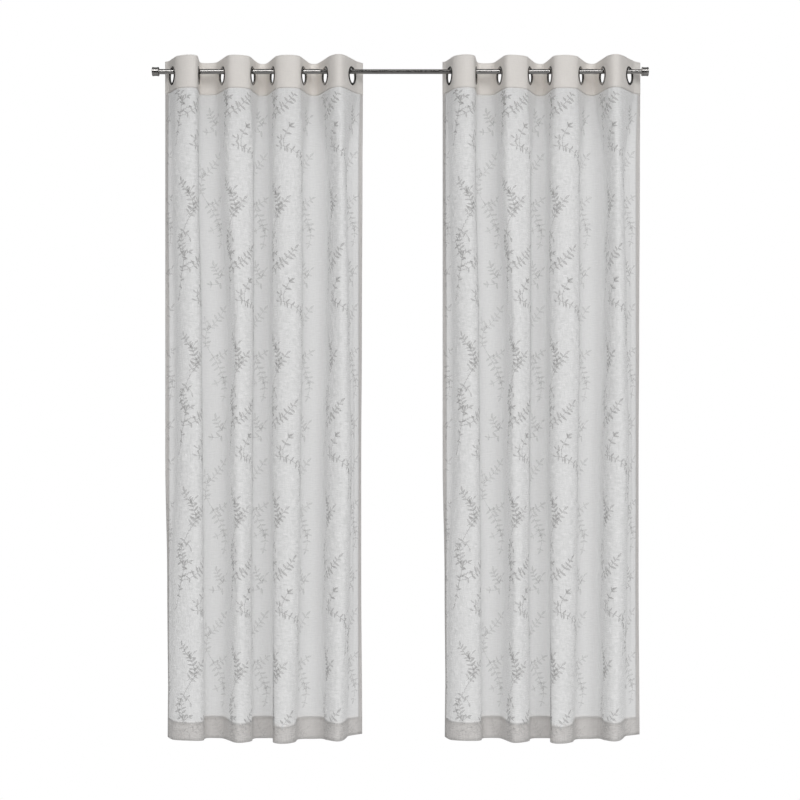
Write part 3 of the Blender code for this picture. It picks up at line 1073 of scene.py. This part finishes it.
rodFinishes = {
    "rod_outer_left": rodNickel,
    "rod_inner_middle": innerNickel,
    "rod_outer_right": rodNickel,
    "rod_inner_right": rodNickel,
    "cap_left": rodNickel,
    "cap_right": rodNickel,
}
for node, finish in rodFinishes.items():
    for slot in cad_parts[node].material_slots:
        slot.material = finish
print("rings and rod finished")

# Floor, camera and light
stage = {
    "floorHeight": -2.30,
    "floorSize": 60.0,
    "eye": (-0.001, -4.7, -1.0291),
    "lens": 67.49,
    "sensor": 36.0,
    "ambient": 0.45,
    "shineTop": 0.24,
    "shineHorizon": 0.03,
    "shineFrom": 0.05,
    "shineTo": 0.75,
    "floorColour": (0.62, 0.62, 0.62, 1.0),
    "farFloorColour": (0.05, 0.05, 0.05, 1.0),
    "floorPool": 2.2,  # how far from the middle the floor stays pale, and where it is dark
    "floorDark": 5.0,
    "bounces": 24,
}
Lamp = namedtuple("Lamp", "name place aim width height power shine")
lamps = (
    Lamp("strip", (0.5, -8.0, 4.2), (0.0, 0.0, -1.0), 6.5, 0.2, 24.0, True),
    Lamp("soft", (0.3, -7.0, 1.2), (0.0, 0.0, -0.6), 7.0, 4.5, 168.0, False),
    Lamp("right", (3.6, -7.0, 1.6), (0.0, 0.0, -0.7), 1.8, 1.8, 80.0, False),
)


def addLamp(lamp):
    data = bpy.data.lights.new(lamp.name, "AREA")
    data.shape = "RECTANGLE"
    data.size = lamp.width
    data.size_y = lamp.height
    data.energy = lamp.power
    made = bpy.data.objects.new(lamp.name, data)
    made.location = lamp.place
    made.rotation_euler = (Vector(lamp.aim) - Vector(lamp.place)).to_track_quat("-Z", "Y").to_euler()
    made.visible_glossy = lamp.shine
    made.visible_camera = False
    bpy.context.scene.collection.objects.link(made)


# The camera sees plain white, the cloth is lit from all round, and the metal mirrors a darker sky
def addSky():
    world = bpy.data.worlds.new("studio")
    world.use_nodes = True
    tree = world.node_tree
    tree.nodes.clear()
    path = tree.nodes.new("ShaderNodeLightPath")
    place = tree.nodes.new("ShaderNodeTexCoord")
    split = tree.nodes.new("ShaderNodeSeparateXYZ")
    height = tree.nodes.new("ShaderNodeMapRange")
    height.inputs["From Min"].default_value = stage["shineFrom"]
    height.inputs["From Max"].default_value = stage["shineTo"]
    height.inputs["To Min"].default_value = stage["shineHorizon"]
    height.inputs["To Max"].default_value = stage["shineTop"]
    tree.links.new(place.outputs["Generated"], split.inputs["Vector"])
    tree.links.new(split.outputs["Z"], height.inputs["Value"])
    skies = {}
    for name, strength in (("seen", 1.0), ("lit", stage["ambient"]), ("shine", 0.0)):
        skies[name] = tree.nodes.new("ShaderNodeBackground")
        skies[name].inputs["Color"].default_value = (1.0, 1.0, 1.0, 1.0)
        skies[name].inputs["Strength"].default_value = strength
    tree.links.new(height.outputs["Result"], skies["shine"].inputs["Strength"])
    mixed = skies["lit"].outputs["Background"]
    for ray, name in (("Is Glossy Ray", "shine"), ("Is Camera Ray", "seen")):
        mix = tree.nodes.new("ShaderNodeMixShader")
        tree.links.new(path.outputs[ray], mix.inputs["Fac"])
        tree.links.new(mixed, mix.inputs[1])
        tree.links.new(skies[name].outputs["Background"], mix.inputs[2])
        mixed = mix.outputs["Shader"]
    output = tree.nodes.new("ShaderNodeOutputWorld")
    tree.links.new(mixed, output.inputs["Surface"])
    bpy.context.scene.world = world


def addFloor():
    deselectAll()
    bpy.ops.mesh.primitive_plane_add(size=stage["floorSize"], location=(0, 0, stage["floorHeight"]))
    made = bpy.context.object
    made.name = "floor"
    finish = Finish("paleFloor")
    seen = finish.node("LightPath", {}, {}, output="Is Camera Ray")
    glow = finish.node("Emission", {}, {"Color": (1.0, 1.0, 1.0, 1.0), "Strength": 1.0})
    place = finish.node("TexCoord", {}, {}, output="Object")
    away = finish.node("VectorMath", {"operation": "LENGTH"}, {0: place}, output="Value")
    limits = {"Value": away, "From Min": stage["floorPool"], "From Max": stage["floorDark"]}
    far = finish.node("MapRange", {}, limits)
    shade = finish.blend(far, stage["floorColour"], stage["farFloorColour"])
    matt = finish.node("BsdfDiffuse", {}, {"Color": shade})
    both = finish.node("MixShader", {}, {"Fac": seen, 1: matt, 2: glow})
    finish.tree.links.new(both.socket, finish.tree.nodes["Material Output"].inputs["Surface"])
    made.data.materials.append(finish.material)


def addCamera():
    data = bpy.data.cameras.new("camera")
    data.lens = stage["lens"]
    data.sensor_width = stage["sensor"]
    made = bpy.data.objects.new("camera", data)
    made.location = stage["eye"]
    made.rotation_euler = (math.radians(90), 0.0, 0.0)
    bpy.context.scene.collection.objects.link(made)
    bpy.context.scene.camera = made


addFloor()
addSky()
for lamp in lamps:
    addLamp(lamp)
addCamera()
bpy.context.scene.view_settings.view_transform = "Standard"
bpy.context.scene.cycles.transparent_max_bounces = stage["bounces"]
print("stage set")
